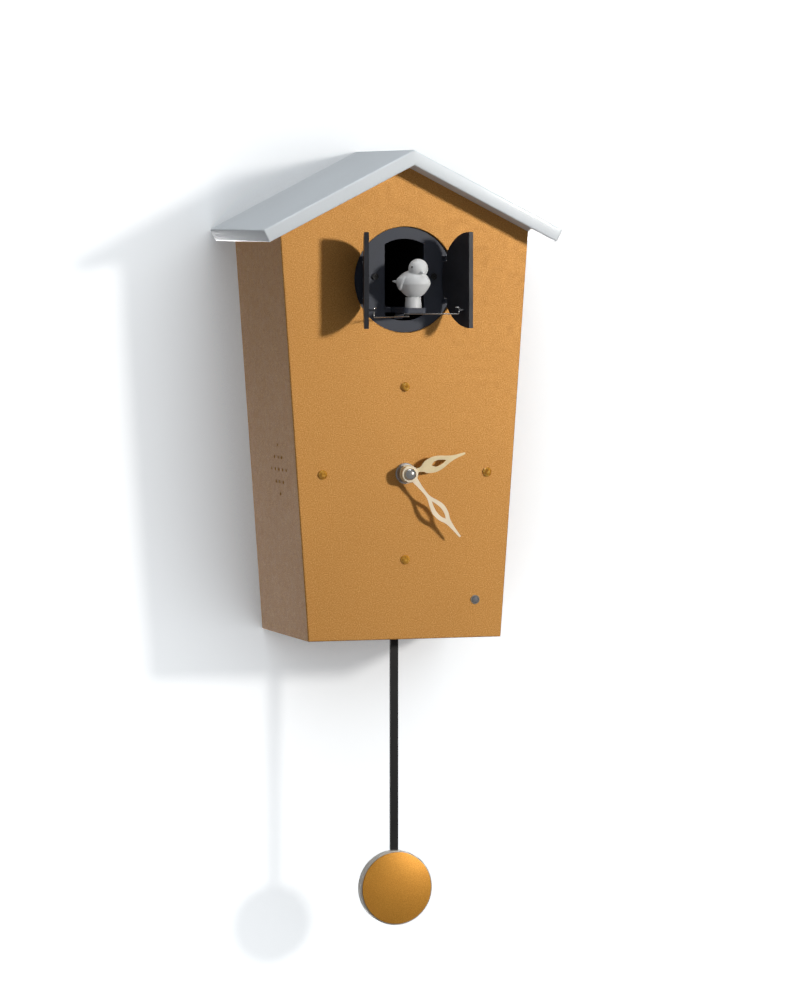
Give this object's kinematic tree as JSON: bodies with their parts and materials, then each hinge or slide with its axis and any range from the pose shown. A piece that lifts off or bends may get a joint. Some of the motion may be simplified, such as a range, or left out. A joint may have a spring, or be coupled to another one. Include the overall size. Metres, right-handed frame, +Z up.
{
  "type": "cuckoo clock",
  "caption": "Wall cuckoo clock: gabled box case on a swinging pendulum, with a bird, two half-round doors, leaf hands and stone hour marks.",
  "frame": {"origin": "centre of the hanger keyhole on the wall face of the back", "axes": "+X to the viewer's right, +Y into the wall, +Z up; the dial faces -Y"},
  "size_m": [0.2082, 0.1378, 0.5208],
  "materials": {
    "case": "satin bronze lacquer with a fine metallic fleck",
    "roof": "satin white lacquer",
    "raw": "bare board",
    "black_board": "matt black",
    "steel": "bright",
    "screw": "bright zinc",
    "gold": "satin",
    "hand": "satin pale gold",
    "stage": "satin blue-black",
    "black": "semi-gloss",
    "white": "satin",
    "grey": "satin",
    "nylon": "moulded",
    "rod": "black",
    "board": "green lacquer",
    "part": "moulded",
    "cell": "printed sleeve",
    "copper": "enamelled winding",
    "paper": "matt",
    "ferrite": "matt",
    "wire": "insulated",
    "amber": "faceted amber",
    "lens": "clear grey"
  },
  "bodies": {
    "case": {"front_board": "case", "left_side_board": "case", "right_side_board": "case", "bottom_board": "case", "left_roof_board": "roof", "right_roof_board": "roof", "corner_blocks": "raw", "back_panel": "black_board", "back_screws": "screw", "hanger_plate": "steel", "hour_stones": "amber", "sensor_ring": "grey", "light_sensor": "lens", "shaft_washer": "steel", "shaft_nut": "steel", "movement_case": "black", "movement_cover": "black", "movement_coil": "copper", "stage_plate": "stage", "stage_screws": "rod", "hinge_pins": "steel", "cuckoo_housing": "part", "drive_axle": "steel", "drive_motor": "steel", "board_posts": "nylon", "circuit_board": "board", "board_components": "part", "battery_holder": "part", "batteries": "cell", "battery_contacts": "steel", "speaker_frame": "rod", "speaker_cone": "paper", "speaker_magnet": "ferrite", "pan_screws": "screw", "wiring": "wire"},
    "pendulum": {"pendulum_hanger": "nylon", "pendulum_magnet": "steel", "pendulum_rod": "rod", "bob_body": "grey", "bob_face": "gold"},
    "minute": {"minute_arbor": "steel", "minute_hand": "hand", "hand_nut": "steel"},
    "hour": {"hour_tube": "nylon", "hour_hand": "hand"},
    "motion_wheel": {"minute_wheel": "nylon"},
    "knob": {"setting_knob": "nylon"},
    "carriage": {"bird_carriage": "black", "bird_perch": "white", "bird": "white", "bird_eyes": "black", "link_screw": "steel"},
    "door_left": {"left_door": "black"},
    "door_right": {"right_door": "black"},
    "link_left": {"left_link": "steel"},
    "link_right": {"right_link": "steel"},
    "gear": {"drive_gear": "nylon"},
    "pinion": {"motor_pinion": "gold"},
    "volume": {"volume_lever": "part"},
    "button": {"demo_button": "nylon"}
  },
  "joints": [
    {"name": "bird_slide", "type": "slide", "parent": "case", "child": "carriage", "axis": [0, 1, 0], "range_m": [0, 0.04199]},
    {"name": "pendulum_swing", "type": "hinge", "parent": "case", "child": "pendulum", "pos_m": [0, -0.083, -0.19], "axis": [0, 1, 0], "range_deg": [-4, 4]},
    {"name": "minute_turn", "type": "hinge", "parent": "case", "child": "minute", "pos_m": [0, -0.108, -0.165], "axis": [0, 1, 0], "continuous": true},
    {"name": "hour_turn", "type": "hinge", "parent": "case", "child": "hour", "pos_m": [0, -0.108, -0.165], "axis": [0, 1, 0], "continuous": true},
    {"name": "motion_wheel_turn", "type": "hinge", "parent": "case", "child": "motion_wheel", "pos_m": [0.012, -0.097, -0.165], "axis": [0, 1, 0], "continuous": true},
    {"name": "knob_turn", "type": "hinge", "parent": "case", "child": "knob", "pos_m": [0.012, -0.088, -0.177], "axis": [0, 1, 0], "continuous": true},
    {"name": "left_door_hinge", "type": "hinge", "parent": "case", "child": "door_left", "pos_m": [-0.0285, -0.1102, -0.036], "axis": [0, 0, 1], "range_deg": [0, 106.01]},
    {"name": "right_door_hinge", "type": "hinge", "parent": "case", "child": "door_right", "pos_m": [0.0285, -0.1102, -0.036], "axis": [0, 0, -1], "range_deg": [0, 106.01]},
    {"name": "left_link_pivot", "type": "hinge", "parent": "door_left", "child": "link_left", "pos_m": [-0.02962, -0.13224, -0.0557], "axis": [0, 0, -1], "range_deg": [0, 61.61]},
    {"name": "right_link_pivot", "type": "hinge", "parent": "door_right", "child": "link_right", "pos_m": [0.02962, -0.13224, -0.0557], "axis": [0, 0, 1], "range_deg": [0, 61.61]},
    {"name": "drive_gear_turn", "type": "hinge", "parent": "case", "child": "gear", "pos_m": [0, -0.0525, -0.0674], "axis": [-1, 0, 0], "range_deg": [0, 429.61]},
    {"name": "motor_turn", "type": "hinge", "parent": "case", "child": "pinion", "pos_m": [0, -0.0525, -0.0779], "axis": [1, 0, 0], "range_deg": [0, 1374.72]},
    {"name": "volume_slide", "type": "slide", "parent": "case", "child": "volume", "axis": [1, 0, 0], "range_m": [-0.004, 0.004]},
    {"name": "demo_press", "type": "slide", "parent": "case", "child": "button", "axis": [0, -1, 0], "range_m": [0, 0.0011], "stiffness_N_per_m": 800}
  ],
  "couplings": [
    {"joint": "hour_turn", "follows": "minute_turn", "ratio": 0.083333},
    {"joint": "motion_wheel_turn", "follows": "minute_turn", "ratio": -0.33333},
    {"joint": "knob_turn", "follows": "minute_turn", "ratio": 1},
    {"joint": "left_door_hinge", "follows": "bird_slide", "rad_per_m": 44.061},
    {"joint": "right_door_hinge", "follows": "bird_slide", "rad_per_m": 44.061},
    {"joint": "left_link_pivot", "follows": "bird_slide", "rad_per_m": 25.607},
    {"joint": "right_link_pivot", "follows": "bird_slide", "rad_per_m": 25.607},
    {"joint": "drive_gear_turn", "follows": "bird_slide", "rad_per_m": 178.57},
    {"joint": "motor_turn", "follows": "bird_slide", "rad_per_m": 571.43}
  ]
}
